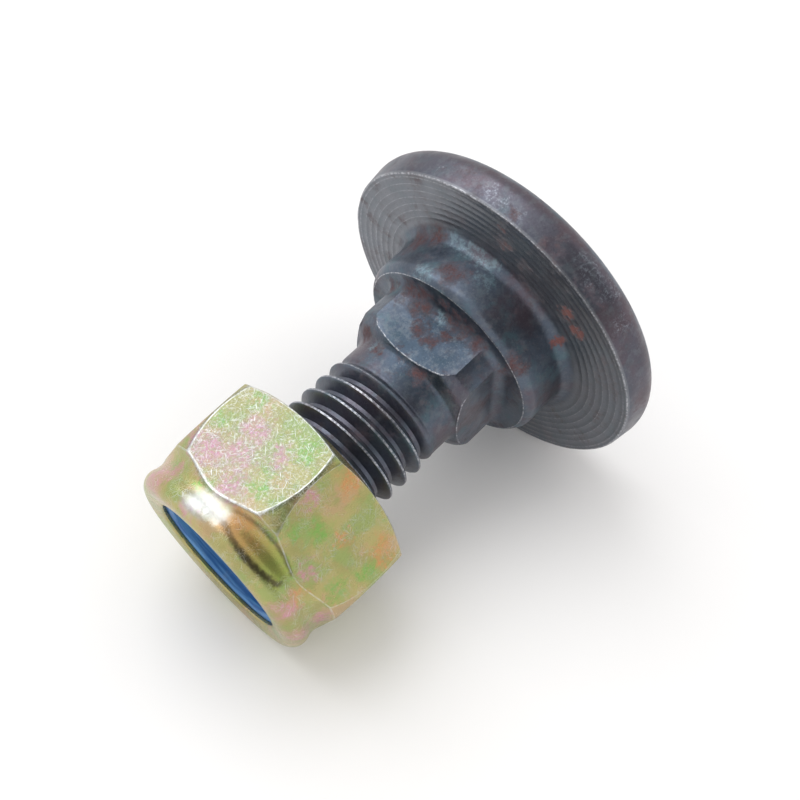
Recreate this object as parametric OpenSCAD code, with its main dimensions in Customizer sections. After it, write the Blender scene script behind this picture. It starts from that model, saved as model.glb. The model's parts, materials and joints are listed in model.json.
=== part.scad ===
// Blade bolt M12 with a crimped lock nut, lying on the edge of its head and on its nut.
// Every piece is drawn on the bolt's own axis: z = 0 at the underside of the head, +z to the nut.
// The module named lying tips that axis down until head and nut both touch the ground.

/* [Thread] */
// Nominal diameter of the thread
thread_d = 12; // [11:0.1:12.4]
// Pitch, from crest to crest
thread_pitch = 1.75; // [1.5:0.05:1.85]
// How far a rolled crest stays under the nominal radius
crest_drop = 0.07; // [0.03:0.01:0.12]
// Width of the flat on a crest, as a share of the pitch
crest_share = 0.14; // [0.1:0.01:0.2]
// Width of the flat in a root, as a share of the pitch
root_share = 0.2; // [0.14:0.01:0.26]
// Station of the first full crest, where it passes the side that lies down
thread_start = 14.35; // [13.8:0.05:14.8]
// Length over which the thread runs out into the plain shank
runout = 1.2; // [0.9:0.1:1.5]
// Part of a turn in which the first ridge rises to its full height
rise = 0.4; // [0.2:0.05:0.6]
// Length of the bolt under its head
shank_length = 30; // [27:0.5:36]
// Depth of the 45 degree chamfer on the bolt's end
end_chamfer = 1.5; // [0.8:0.1:1.8]

/* [Head] */
// Diameter of the turned face under the head
face_d = 32.2; // [30:0.2:34]
// How far the rounded rim stands out past the edge of that face
rim_bulge = 0.3; // [0.2:0.05:1.2]
// Thickness of the head
head_h = 4.1; // [4:0.1:6]
// Radius of the rounding from the rim to the back
rim_round = 1.95; // [1.4:0.05:2.2]

/* [Collar] */
// Diameter of the round collar that carries the blade
collar_d = 19.2; // [18.6:0.1:20.4]
// Height of the collar above the head's underside
collar_h = 5; // [4.6:0.1:5.6]
// Radius of the rounding at the collar's end
collar_round = 1.2; // [0.9:0.1:1.5]
// How much of that rounding the end face cuts off, so that a crisp edge is left
collar_crisp = 0.2; // [0.1:0.05:0.3]
// Radius of the fillet between head and collar
collar_fillet = 1.1; // [0.6:0.1:1.3]

/* [Neck] */
// Square neck, across its flats
neck_flats = 12.15; // [12.1:0.05:13]
// Square neck, across its turned corners
neck_corners = 15.2; // [14.8:0.1:16]
// Station where the neck's turned corners end
neck_corner_end = 8.8; // [8:0.1:9.2]
// Width of the bevel that ends the corners, on the radius
neck_bevel = 0.5; // [0.3:0.05:0.8]
// Height of the same bevel
neck_bevel_h = 0.8; // [0.5:0.05:0.9]
// Station where the neck's shoulder ends
neck_end = 10.25; // [10.15:0.05:10.6]
// Radius of the fillets at the foot of the neck's flats
neck_fillet = 1; // [0.4:0.1:1.1]
// Turn of the neck's flats about the bolt's axis
neck_turn = -6; // [-45:1:45]
// Diameter of the plain shank between neck and thread
plain_d = 11.4; // [11:0.1:11.5]

/* [Nut] */
// Nut across its flats
nut_flats = 19; // [18.6:0.1:20]
// Nut across its forged corners, where they are widest
nut_corners = 21.8; // [21.6:0.05:21.9]
// Height of that place above the bearing face
corner_middle = 3.6; // [3:0.1:4.4]
// Radius of the long arc that the corners follow from bearing face to crown
corner_curve = 20; // [18:1:40]
// How far the bolt's end reaches into the nut at rest
nut_grip = 8.8; // [8.2:0.1:9.4]
// Overall height of the nut
nut_h = 12.2; // [11.9:0.1:12.6]
// Length of the threaded part of the nut
nut_thread_h = 8; // [7.4:0.1:8.1]
// Angle of the chamfer on the bearing side
bearing_chamfer = 30; // [20:1:32]
// Largest diameter of the rolled crown
crown_d = 19.1; // [19:0.05:19.4]
// Radius of the crown's outer bulge
crown_round = 1.3; // [1.2:0.05:1.4]
// Diameter of the valley between hexagon and crown
valley_d = 18.7; // [18.5:0.05:18.8]
// Radius of the hollow that makes the valley
valley_round = 1.75; // [1.6:0.05:1.9]
// Diameter of the hole that the rolled lip leaves
lip_d = 13.5; // [13.1:0.1:14]
// Thickness of the crown over the ring
lip_h = 0.6; // [0.5:0.05:1.1]
// How far the rolled lip dips from the crown's top to its hole
lip_dip = 0.2; // [0.1:0.05:0.3]
// Depth of the countersink at the bearing face
countersink = 0.6; // [0.4:0.05:0.9]
// Running clearance round the thread, on the radius
thread_clear = 0.06; // [0.03:0.01:0.09]

/* [Nylon ring] */
// Outer diameter of the ring
ring_d = 15.4; // [15:0.1:15.7]
// Rounding of the ring's edges
ring_edge = 0.3; // [0.1:0.05:0.4]
// Clearance between the ring and its seat
ring_clear = 0.05; // [0.03:0.01:0.08]

/* [Hidden] */
$fn = 96;
steel = "#53565e";
zinc = "#b3a76b";
nylon = "#1f4f8a";
// A bearing face is turned this much smaller than the flats
bearing_inset = 0.1;
// A cut runs this far past the face that it goes through
past = 1;
// The neck's shoulder slopes down to this far outside the plain shank
shoulder_past = 0.5;
hex_sides = 6;

// Thread form with 60 degree flanks, at the true pitch and depth
thread_angle = 60;
crest_r = thread_d / 2 - crest_drop;
crest_w = crest_share * thread_pitch;
root_w = root_share * thread_pitch;
flank_w = (thread_pitch - crest_w - root_w) / 2;
root_r = crest_r - flank_w / tan(thread_angle / 2);
// Corners of one ridge about the middle of its crest: station and height as a share of the depth
ridge = [[-crest_w / 2 - flank_w, 0], [-crest_w / 2, 1], [crest_w / 2, 1], [crest_w / 2 + flank_w, 0]];
// Flats that stand for one turn of the thread, and turns from the run-out to past the bolt's end
turn_steps = 32;
turns = ceil((shank_length - thread_start) / thread_pitch) + 2;
// The plain shank ends under the first ridge, and its core stays this far inside the thread's root
plain_end = thread_start - thread_pitch - crest_w / 2;
core_inset = 0.1;

// Rim of the head: a circle of rim_round that touches the largest diameter and the back
face_r = face_d / 2;
rim_cr = face_r + rim_bulge - rim_round;
rim_cz = -(head_h - rim_round);
// From the face's edge the rim runs straight to this point of the circle
rim_reach = norm([face_r - rim_cr, -rim_cz]);
rim_touch = atan2(-rim_cz, face_r - rim_cr) - acos(rim_round / rim_reach);

collar_r = collar_d / 2;
collar_side_end = collar_h - collar_round + collar_crisp;
neck_r = neck_corners / 2;
plain_r = plain_d / 2;

// Station of the nut's bearing face
nut_seat = shank_length - nut_grip;

// Crown of the nut: a circle of crown_round that touches the largest diameter and the top
crown_cr = crown_d / 2 - crown_round;
crown_cz = nut_seat + nut_h - crown_round;
nut_face_r = nut_flats / 2 - bearing_inset;
corner_r = nut_corners / 2;

// The valley's hollow is a circle that touches the crown's circle from outside
valley_cr = valley_d / 2 + valley_round;
valley_cz = crown_cz - sqrt(pow(crown_round + valley_round, 2) - pow(valley_cr - crown_cr, 2));

// The thread's bore, and the ring's seat in the nut
bore_r = crest_r + thread_clear;
seat_z = nut_seat + nut_thread_h;
seat_top = nut_seat + nut_h - lip_h;
seat_r = ring_d / 2 + ring_clear;

// Resting pose: the ground touches the crown's circle and, on the head, the rim or the face's edge
function ground_tilt(r, z, round) =
    atan2(r - crown_cr, crown_cz - z) + asin((round - crown_round) / norm([crown_cz - z, r - crown_cr]));
rest_tilt = max(ground_tilt(rim_cr, rim_cz, rim_round), ground_tilt(face_r, 0, 0));
rest_lift = crown_cr * cos(rest_tilt) + crown_cz * sin(rest_tilt) + crown_round;

// Middle of the lying part along X, between the back of the head and the top of the crown
back_x = rim_cz * cos(rest_tilt) - rim_cr * sin(rest_tilt) - rim_round;
front_x = crown_cz * cos(rest_tilt) + crown_cr * sin(rest_tilt) + crown_round;
rest_x = -(back_x + front_x) / 2;

// Lays a piece, drawn on the bolt's axis, on the ground
module lying() {
    translate([rest_x, 0, rest_lift]) rotate([0, 90 + rest_tilt, 0]) children();
}

// Head: a flat turned face, a rim that bulges past it and a plain back
module head() {
    rotate_extrude() {
        polygon([
            [0, 0],
            [face_r, 0],
            [rim_cr + rim_round * cos(rim_touch), rim_cz + rim_round * sin(rim_touch)],
            [rim_cr, rim_cz],
            [rim_cr, -head_h],
            [0, -head_h]
        ]);
        translate([rim_cr, rim_cz]) circle(rim_round);
    }
}

// Collar that the blade turns on, with its fillet to the head and its rounded end
module collar() {
    rotate_extrude() {
        square([collar_r, collar_side_end]);
        square([collar_r - collar_round, collar_h]);
        intersection() {
            translate([collar_r - collar_round, collar_side_end]) circle(collar_round);
            square([collar_r, collar_h]);
        }
        difference() {
            translate([collar_r - collar_round, -collar_round])
                square([collar_round + collar_fillet, collar_round + collar_fillet]);
            translate([collar_r + collar_fillet, collar_fillet]) circle(collar_fillet);
        }
    }
}

// Fillet between an upright side at x and the end of the collar, as a profile
module foot_fillet(x) {
    difference() {
        translate([x - neck_fillet, collar_h - neck_fillet]) square(2 * neck_fillet);
        translate([x + neck_fillet, collar_h + neck_fillet]) circle(neck_fillet);
    }
}

// Outline that the turning tool leaves on the neck: round corners, a bevel and a shoulder
module neck_outline() {
    polygon([
        [0, 0],
        [neck_r, 0],
        [neck_r, neck_corner_end],
        [neck_r - neck_bevel, neck_corner_end + neck_bevel_h],
        [plain_r + shoulder_past, neck_end],
        [0, neck_end]
    ]);
    foot_fillet(neck_r);
}

// Slab between two flats of the neck, with a fillet at the foot of each
module flats_slab() {
    rotate([90, 0, 0]) linear_extrude(collar_d, center = true) {
        translate([-neck_flats / 2, 0]) square([neck_flats, neck_end]);
        foot_fillet(neck_flats / 2);
        mirror([1, 0]) foot_fillet(neck_flats / 2);
    }
}

// Square neck: four flats milled on a turned blank, so that each flat ends in an arc
module neck() {
    rotate(neck_turn) intersection() {
        rotate_extrude() neck_outline();
        flats_slab();
        rotate(90) flats_slab();
    }
}

// Point of the thread's skin: corner k of the ridges, counted along the bolt, at a part of a turn
function thread_point(k, part) =
    let (corner = ridge[k % len(ridge)])
    let (climb = floor(k / len(ridge)) + part)
    let (r = root_r + corner[1] * min(1, climb / rise) * (crest_r - root_r))
    [r * cos(360 * part), r * sin(360 * part), thread_start + (climb - 1) * thread_pitch + corner[0]];

// Thread as one closed skin: its corners climb a pitch in each turn, and both ends close on the axis
module thread() {
    pitch_rows = len(ridge);
    last = pitch_rows * turns - 1;
    skin = [for (k = [0:last], i = [0:turn_steps - 1]) thread_point(k, i / turn_steps)];
    // After a full turn a row goes on as the row one pitch higher
    function at(k, i) = i < turn_steps ? k * turn_steps + i : (k + pitch_rows) * turn_steps;
    walls = [
        for (k = [0:last - 1], i = [0:turn_steps - 1])
            if (i < turn_steps - 1 || k + pitch_rows < last)
                each [[at(k, i), at(k + 1, i), at(k + 1, i + 1)], [at(k, i), at(k + 1, i + 1), at(k, i + 1)]]
    ];
    foot = concat([for (i = [0:turn_steps]) at(0, i)], [for (k = [pitch_rows - 1:-1:0]) at(k, 0)]);
    far_end = concat([for (i = [0:turn_steps - 1]) at(last, i)],
        [for (k = [1:pitch_rows]) at(last - k, turn_steps - 1)], [at(last, 0)]);
    middles = [[0, 0, skin[0][2]], [0, 0, skin[len(skin) - 1][2]]];
    fans = [
        for (j = [1:len(foot) - 1]) each [
            [len(skin), foot[j - 1], foot[j]],
            [len(skin) + 1, far_end[j], far_end[j - 1]]
        ]
    ];
    polyhedron(concat(skin, middles), concat(walls, fans));
}

// Plain shank that runs out into the thread, and the thread up to the chamfered end
module shank() {
    core_r = root_r - core_inset;
    rotate_extrude() polygon([
        [0, 0],
        [plain_r, 0],
        [plain_r, plain_end],
        [core_r, plain_end + runout],
        [0, plain_end + runout]
    ]);
    intersection() {
        thread();
        rotate_extrude() polygon([
            [0, 0],
            [thread_d, 0],
            [thread_d, shank_length - end_chamfer - (thread_d - crest_r)],
            [crest_r - end_chamfer, shank_length],
            [0, shank_length]
        ]);
    }
}

module bolt() {
    color(steel) lying() {
        head();
        collar();
        neck();
        shank();
    }
}

// Turned outline of the nut: bearing chamfer, curved corners, the valley and the rolled crown
module nut_outline() {
    difference() {
        intersection() {
            polygon([
                [0, nut_seat],
                [nut_face_r, nut_seat],
                [corner_r, nut_seat + (corner_r - nut_face_r) * tan(bearing_chamfer)],
                [corner_r, valley_cz],
                [valley_cr, valley_cz],
                [crown_cr, crown_cz],
                [crown_cr, nut_seat + nut_h],
                [lip_d / 2, nut_seat + nut_h - lip_dip],
                [0, nut_seat + nut_h - lip_dip]
            ]);
            translate([corner_r - corner_curve, nut_seat + corner_middle]) circle(corner_curve);
        }
        translate([valley_cr, valley_cz]) circle(valley_round);
    }
    translate([crown_cr, crown_cz]) circle(crown_round);
}

// Inside of the nut: countersink, thread bore, the ring's seat and the hole in the lip
module nut_bore() {
    rotate_extrude() polygon([
        [0, nut_seat - past],
        [bore_r + countersink + past, nut_seat - past],
        [bore_r, nut_seat + countersink],
        [bore_r, seat_z],
        [seat_r, seat_z],
        [seat_r, seat_top],
        [lip_d / 2, seat_top],
        [lip_d / 2, nut_seat + nut_h + past],
        [0, nut_seat + nut_h + past]
    ]);
}

module nut() {
    color(zinc) lying() difference() {
        intersection() {
            rotate_extrude() nut_outline();
            rotate(180 / hex_sides) translate([0, 0, nut_seat])
                cylinder(h = nut_h, d = nut_flats / cos(180 / hex_sides), $fn = hex_sides);
        }
        nut_bore();
    }
}

// Nylon ring that grips the thread, held between its seat and the lip
module nylon_ring() {
    low = seat_z + ring_clear;
    high = seat_top - ring_clear;
    color(nylon) lying() rotate_extrude() polygon([
        [bore_r + ring_edge, low],
        [ring_d / 2, low],
        [ring_d / 2, high],
        [bore_r + ring_edge, high],
        [bore_r, high - ring_edge],
        [bore_r, low + ring_edge]
    ]);
}

bolt();
nut();
nylon_ring();
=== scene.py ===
# %% [markdown]
# # A blade bolt with its lock nut
# The real object is a short forged bolt that holds a mower blade: a wide round head, a round
# collar that the blade turns on, a square neck and a metric thread. A zinc-plated hexagon nut
# with a blue nylon ring is screwed onto it, and the pair lies on its side on a white table.
# The solid model gives every size and place, and this script dresses it.

# %% The frame that the solid model gives
import json
import math

import bmesh
import bpy
import numpy as np
from mathutils import Matrix, Vector


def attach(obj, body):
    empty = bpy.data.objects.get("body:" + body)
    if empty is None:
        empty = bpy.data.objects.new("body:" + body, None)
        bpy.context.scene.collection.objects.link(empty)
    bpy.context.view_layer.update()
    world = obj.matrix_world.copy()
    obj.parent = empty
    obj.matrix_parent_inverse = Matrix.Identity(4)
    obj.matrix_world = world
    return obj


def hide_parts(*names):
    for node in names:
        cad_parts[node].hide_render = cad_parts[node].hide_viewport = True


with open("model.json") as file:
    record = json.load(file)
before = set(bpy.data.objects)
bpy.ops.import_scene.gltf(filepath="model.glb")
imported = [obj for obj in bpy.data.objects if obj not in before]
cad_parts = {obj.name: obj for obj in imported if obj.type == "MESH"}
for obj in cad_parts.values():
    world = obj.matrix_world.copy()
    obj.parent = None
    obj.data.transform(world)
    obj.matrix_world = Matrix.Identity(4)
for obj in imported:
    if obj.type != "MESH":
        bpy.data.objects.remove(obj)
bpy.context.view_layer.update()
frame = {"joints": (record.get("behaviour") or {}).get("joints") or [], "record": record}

# %% [markdown]
# ## Working on the bolt's own axis
# Everything here is turned or rolled round one axis, so it is easiest to draw each piece on
# that axis, in millimetres: z = 0 is the underside of the head and +z runs to the nut. One
# matrix then lays the finished mesh down in the frame, in metres. The packed record says
# where the axis lies, so nothing is placed by eye.

# %% The matrix that lays a piece down
MM = 0.001
axis = Vector(frame["joints"][0]["axis"])
mounts = {mount["name"]: mount for mount in frame["record"]["mounts"]}
foot = Vector(mounts["head_underside"]["pos_m"])
foot.y = 0
DIP = math.asin(-axis.z)
TIP = math.pi / 2 + DIP
LAY = Matrix.Translation(foot) @ Matrix.Rotation(TIP, 4, "Y") @ Matrix.Scale(MM, 4)
print("the axis dips", round(math.degrees(DIP), 2), "degrees")

# %% [markdown]
# ## Skins made of rings
# A turned part is a stack of rings. Each ring here has the same number of points, and a ring
# may have its own radius and height at every point, so the same helper also makes flats and
# arcs, which the Screw modifier or Spin could not. Every point carries a value named worn,
# from 0 to 1, that the materials use to turn sharp edges into bright rubbed metal.

# %% Rings and skins
STEPS = 144
AROUND = np.arange(STEPS) * 2 * math.pi / STEPS


def ring(radius, z, worn=0.0, angles=AROUND):
    """The points of one ring and how worn each is; every value may differ from point to point."""
    points = np.stack([radius * np.cos(angles), radius * np.sin(angles), z + 0 * angles], 1)
    return points, worn + 0 * angles


def skin(mesh, rings, close_first=False, close_last=False):
    """Joins each ring to the next with quads, and closes an end with a fan where asked."""
    layers = mesh.verts.layers.float
    layer = layers.get("worn") or layers.new("worn")
    rows = []
    for points, worn in rings:
        row = [mesh.verts.new(p) for p in points]
        for vert, value in zip(row, worn):
            vert[layer] = value
        rows.append(row)
    for low, high in zip(rows, rows[1:]):
        for i in range(STEPS):
            j = (i + 1) % STEPS
            mesh.faces.new((low[i], low[j], high[j], high[i]))
    for row, closed in ((rows[0], close_first), (rows[-1], close_last)):
        if closed:
            middle = mesh.verts.new(sum((v.co for v in row), Vector()) / STEPS)
            for i in range(STEPS):
                mesh.faces.new((row[i], row[(i + 1) % STEPS], middle))


def arc(x, z, radius, start, end, count):
    """Points (radius, height) of an arc in the profile plane; the angles are in degrees."""
    turn = np.radians(np.linspace(start, end, count))
    return list(zip(x + radius * np.cos(turn), z + radius * np.sin(turn)))


print(STEPS, "points round each ring")

# %% [markdown]
# ## Sums of nodes
# Shader maths and geometry maths are easier to read as Python expressions than as lists of
# nodes. This class wraps one socket, and each operator adds the node that does the sum and
# returns the new socket. Colours and vectors get Vector Math and Mix nodes, because a Math
# node would turn a colour grey.

# %% A wrapper for node sums
def maths(operation, reflected=False):
    """A method that adds one maths node; reflected puts the other value first."""
    def method(self, other):
        if reflected:
            return self.sum(operation, other, self)
        return self.sum(operation, self, other)
    return method


class Sum:
    """A socket that can be used in Python sums; every sum adds its nodes to the tree."""

    def __init__(self, tree, socket):
        self.tree = tree
        self.socket = socket

    def plug(self, socket, value):
        if isinstance(value, Sum):
            self.tree.links.new(value.socket, socket)
        elif socket.type == "VECTOR" and isinstance(value, (int, float)):
            socket.default_value = (value,) * 3
        elif socket.type == "RGBA":
            socket.default_value = (*value, 1)
        else:
            socket.default_value = value

    def node(self, kind, settings=None, inputs=None, output=0):
        """Adds any node: first its settings, then its inputs, and returns one output if it has any."""
        made = self.tree.nodes.new(kind)
        for name, value in (settings or {}).items():
            setattr(made, name, value)
        for key, value in (inputs or {}).items():
            self.plug(made.inputs[key], value)
        return Sum(self.tree, made.outputs[output] if made.outputs else None)

    def other(self, output):
        """Another output of the same node."""
        return Sum(self.tree, self.socket.node.outputs[output])

    def is_vector(self):
        return self.socket.type in ("VECTOR", "RGBA")

    def sum(self, operation, first, second):
        wide = any(isinstance(v, Sum) and v.is_vector() for v in (first, second))
        kind = "ShaderNodeVectorMath" if wide else "ShaderNodeMath"
        return self.node(kind, {"operation": operation}, {0: first, 1: second})

    __add__ = maths("ADD")
    __radd__ = maths("ADD", reflected=True)
    __sub__ = maths("SUBTRACT")
    __rsub__ = maths("SUBTRACT", reflected=True)
    __mul__ = maths("MULTIPLY")
    __rmul__ = maths("MULTIPLY", reflected=True)
    __truediv__ = maths("DIVIDE")
    __rtruediv__ = maths("DIVIDE", reflected=True)
    least = maths("MINIMUM")
    most = maths("MAXIMUM")

    def do(self, operation):
        """One Math node that needs no second number, such as COSINE."""
        return self.sum(operation, self, 0.0)

    def smooth(self, low, high):
        """0 below low, 1 above high, and a smooth step between them."""
        return self.node("ShaderNodeMapRange", {"interpolation_type": "SMOOTHSTEP"},
                         {"Value": self, "From Min": low, "From Max": high})

    def mix(self, zero, one):
        """zero where this mask is 0 and one where it is 1; numbers only."""
        return zero + self * (one - zero)

    def blend(self, zero, one):
        """The same for colours."""
        return self.node("ShaderNodeMix", {"data_type": "RGBA"}, {0: self, 6: zero, 7: one}, 2)

    def length(self):
        return self.node("ShaderNodeVectorMath", {"operation": "LENGTH"}, {0: self}, "Value")


print("node sums: + - * / and", [name for name in vars(Sum) if not name.startswith("_")])

# %% [markdown]
# ## The thread
# A rolled thread is one rule all along: a profile of 60 degree flanks climbs one pitch in
# each turn. Geometry Nodes suit that. A flat grid has its columns wound round the axis and
# its rows stacked along it, and every point gets its radius from how far it is from the
# nearest crest. Both ends blend into plain rings, so that the skin welds to its neighbours.
# The same tree makes the bolt's thread and the nut's, which differ only in their inputs.
# All the lengths are in millimetres.

# %% Where the tree puts each point of the grid
THREAD_INPUTS = {
    "Pitch": 1.75, "Crest radius": 5.93, "Root radius": 4.93, "Flank meets at": 6.15,
    "First crest": 9.1, "Low end": 12.5, "Low radius": 5.7, "Low fade": 1.5,
    "High end": 30.0, "High radius": 4.43, "High fade": 1.5,
}
ROWS_PER_PITCH = 20
FLANK_SLOPE = 1 / math.tan(math.radians(30))
RUBBED_HALF_WIDTH, UNRUBBED_FROM = 0.05, 0.17
WELD = 0.002


def thread_points(start, size, rows):
    """The place of each point, and how worn it is, for a grid that is 1 wide and 1 high."""
    flat = start.node("ShaderNodeSeparateXYZ", None, {0: start.node("GeometryNodeInputPosition")})
    along = (flat + 0.5) * (rows / ROWS_PER_PITCH)
    round_part = flat.other(1) + 0.5

    from_crest = (along - (along + 0.5).do("FLOOR")).do("ABSOLUTE") * size["Pitch"]
    radius = size["Flank meets at"] - from_crest * FLANK_SLOPE
    radius = radius.least(size["Crest radius"]).most(size["Root radius"])
    height = size["First crest"] + (along + round_part) * size["Pitch"]
    height = height.most(size["Low end"]).least(size["High end"])

    low_part = (height - size["Low end"]).smooth(0.0, size["Low fade"])
    high_part = ((size["High end"] - height) / size["High fade"]).least(1.0)
    radius = low_part.mix(size["Low radius"], radius)
    radius = high_part.mix(size["High radius"], radius)
    angle = round_part * (2 * math.pi)
    place = start.node("ShaderNodeCombineXYZ", None, {
        0: radius * angle.do("COSINE"), 1: radius * angle.do("SINE"), 2: height})
    worn = (1 - from_crest.smooth(RUBBED_HALF_WIDTH, UNRUBBED_FROM)) * low_part
    return place, worn


print("a turn of the thread has", ROWS_PER_PITCH, "rows")

# %% The thread's node tree, and the mesh that it makes
def thread_tree(rows, material):
    tree = bpy.data.node_groups.new("Screw thread", "GeometryNodeTree")
    for way in ("INPUT", "OUTPUT"):
        tree.interface.new_socket("Geometry", in_out=way, socket_type="NodeSocketGeometry")
    for name, value in THREAD_INPUTS.items():
        socket = tree.interface.new_socket(name, in_out="INPUT", socket_type="NodeSocketFloat")
        socket.default_value = value
    start = Sum(tree, None).node("NodeGroupInput")
    size = {name: start.other(name) for name in THREAD_INPUTS}
    place, worn = thread_points(start, size, rows)

    counts = {"Vertices X": rows + 1, "Vertices Y": STEPS + 1, "Size X": 1.0, "Size Y": 1.0}
    shape = start.node("GeometryNodeMeshGrid", None, counts)
    for kind, settings, inputs in (
            ("GeometryNodeStoreNamedAttribute", {"data_type": "FLOAT", "domain": "POINT"},
             {"Name": "worn", "Value": worn}),
            ("GeometryNodeSetPosition", None, {"Position": place}),
            ("GeometryNodeMergeByDistance", None, {"Distance": WELD}),
            ("GeometryNodeRealizeInstances", None, {}),
            ("GeometryNodeSetMaterial", None, {"Material": material})):
        shape = start.node(kind, settings, {"Geometry": shape, **inputs})
    start.node("NodeGroupOutput", None, {0: shape})
    return tree


def thread_mesh(rows, material, changes=None):
    """Evaluates the tree on an empty carrier and returns the plain mesh, in millimetres."""
    carrier = bpy.data.objects.new("thread_carrier", bpy.data.meshes.new("carrier"))
    bpy.context.scene.collection.objects.link(carrier)
    modifier = carrier.modifiers.new("thread", "NODES")
    modifier.node_group = thread_tree(rows, material)
    sizes = THREAD_INPUTS | (changes or {})
    for item in modifier.node_group.interface.items_tree:
        if item.in_out == "INPUT" and item.name in sizes:
            modifier[item.identifier] = float(sizes[item.name])
    seen = carrier.evaluated_get(bpy.context.evaluated_depsgraph_get())
    mesh = bpy.data.meshes.new_from_object(seen)
    bpy.data.objects.remove(carrier)
    print("thread:", len(mesh.vertices), "points,", len(mesh.polygons), "faces")
    return mesh


# %% [markdown]
# ## Three finishes
# A piece takes its material with it when it is made, so the three materials are made first
# and stay empty for now. What each finish looks like is worked out after the shapes.

# %% The finishes, still empty
dark_steel = bpy.data.materials.new("worn_black_oxide")
yellow_zinc = bpy.data.materials.new("passivated_zinc_plate")
blue_nylon = bpy.data.materials.new("deep_blue_nylon")
print("finishes:", dark_steel.name, yellow_zinc.name, blue_nylon.name)

# %% [markdown]
# ## Head and collar
# The head is a disc whose rim is rounded by the forging die, and only the face that meets
# the blade is turned. The turning tool leaves shallow scallops with a fine ridge between
# each pair, 0.7 mm apart. They show well on the real bolt, so they are real geometry here.
# The sharp edges are a little uneven, because they have been knocked in use.

# %% Unevenness of the sharp edges
rng = np.random.default_rng(7)


def ragged(amount, grain=3):
    """A little unevenness round a ring, smooth over a few points."""
    heights = rng.normal(size=STEPS)
    kernel = np.ones(grain) / grain
    return amount * np.convolve(np.tile(heights, 3), kernel, "same")[STEPS:2 * STEPS]


def knocked_edge(radius, z, rows, dents):
    """Rings round a sharp edge, from rows of how far out, how high, how worn and if dented."""
    rings = []
    for out, up, worn, dented in rows:
        uneven = ragged(dents) if dented else 0.0
        rings.append(ring(radius + out + uneven, z + up, worn))
    return rings


HEAD_DENTS, FINE_DENTS = 0.045, 0.012
print("dents of about", HEAD_DENTS, "mm on the head's edge and", FINE_DENTS, "mm elsewhere")

# %% Rings of the head, from the middle of its back to the turned face
HEAD_H, FACE_R = 4.1, 16.1
BACK_RINGS = (2, 6, 10, 13)
RIM_R, RIM_Z, RIM_ROUND, RIM_TOUCH = 14.45, -2.15, 1.95, 8.5
RIDGE_PITCH, RIDGE_DEPTH, FIRST_RIDGE, RIDGES = 0.7, 0.045, 10.72, 8
STEPS_PER_RIDGE = 6
FACE_EDGE = (
    (0.13, -0.85, 0.0, False), (0.03, -0.16, 0.2, False),
    (-0.04, -0.02, 1.0, True), (-0.14, 0.0, 1.0, True), (-0.2, -0.01, 0.1, False),
)

head = [ring(r, -HEAD_H) for r in BACK_RINGS]
head += [ring(r, z) for r, z in arc(RIM_R, RIM_Z, RIM_ROUND, -90, RIM_TOUCH, count=18)]
head += knocked_edge(FACE_R, 0.0, FACE_EDGE, HEAD_DENTS)
# The scallops, from the edge inwards; each starts at a worn ridge
for ridge in range(RIDGES - 1, 0, -1):
    for share in np.arange(STEPS_PER_RIDGE) / STEPS_PER_RIDGE:
        r = FIRST_RIDGE + RIDGE_PITCH * (ridge - share)
        dip = RIDGE_DEPTH * (1 - (2 * share - 1) ** 2)
        head.append(ring(r, -dip, float(share == 0)))
print("head:", len(head), "rings with", RIDGES, "ridges on the face")

# %% Rings of the collar
COLLAR_R, COLLAR_H, COLLAR_FILLET = 9.6, 5.0, 1.1
SIDE_RINGS = (1.9, 2.7, 3.5)
END_ROUND, END_ROUND_Z, END_ROUND_STOP, END_EDGE_R = 1.2, 4.0, 53, 9.09
END_EDGE = ((0.0, -0.025, 1.0, True), (-0.05, 0.0, 1.0, True), (-0.14, -0.005, 0.1, False))

fillet = arc(COLLAR_R + COLLAR_FILLET, COLLAR_FILLET, COLLAR_FILLET, 270, 180, count=9)
collar = [ring(r, z) for r, z in fillet]
collar += [ring(COLLAR_R, z) for z in SIDE_RINGS]
end_round = arc(COLLAR_R - END_ROUND, END_ROUND_Z, END_ROUND, 0, END_ROUND_STOP, count=9)
collar += [ring(r, z, 0.35 * (k > 6)) for k, (r, z) in enumerate(end_round)]
collar += knocked_edge(END_EDGE_R, COLLAR_H, END_EDGE, FINE_DENTS)
print("collar:", len(collar), "rings, its edge at", 2 * END_EDGE_R, "mm across")

# %% [markdown]
# ## Square neck
# The neck is a turned blank with four flats milled on it. Where a flat cuts the round
# corners it ends in an arc, so the rings follow that arc: at each angle the radius is the
# smaller of the flat's and the corner's, and the ring that closes the flat climbs until the
# turned outline is as narrow as that. The points beside each flat's long edges move onto it.
# Cutting the flats with booleans would be quicker to write, but it leaves uneven faces.

# %% Sizes and angles of the neck
NECK_FLAT_R, NECK_CORNER_R, NECK_TURN = 12.15 / 2, 7.6, math.radians(-6.0)
CORNER_END, BEVEL_R, BEVEL_Z, NECK_END = 8.8, 7.1, 9.6, 10.25
NECK_FILLET = 1.0

neck_angles = AROUND.copy()
half_flat = math.acos(NECK_FLAT_R / NECK_CORNER_R)
for flat_number in range(4):
    for sign in (-1, 1):
        edge = NECK_TURN + flat_number * math.pi / 2 + sign * half_flat
        gap = (neck_angles - edge + math.pi) % (2 * math.pi) - math.pi
        neck_angles[np.abs(gap).argmin()] = edge % (2 * math.pi)
from_flat = (neck_angles - NECK_TURN + math.pi / 4) % (math.pi / 2) - math.pi / 4
print("each flat of the neck is", round(2 * NECK_CORNER_R * math.sin(half_flat), 2), "mm wide")


# %% Rings of the neck
def neck_radius(grow=0.0):
    return np.minimum((NECK_FLAT_R + grow) / np.cos(from_flat), NECK_CORNER_R + grow)


def shoulder(r):
    """Height at which the turned outline is as narrow as r."""
    return np.interp(r, [NECK_FLAT_R - 0.02, BEVEL_R, NECK_CORNER_R], [NECK_END, BEVEL_Z, CORNER_END])


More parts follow.
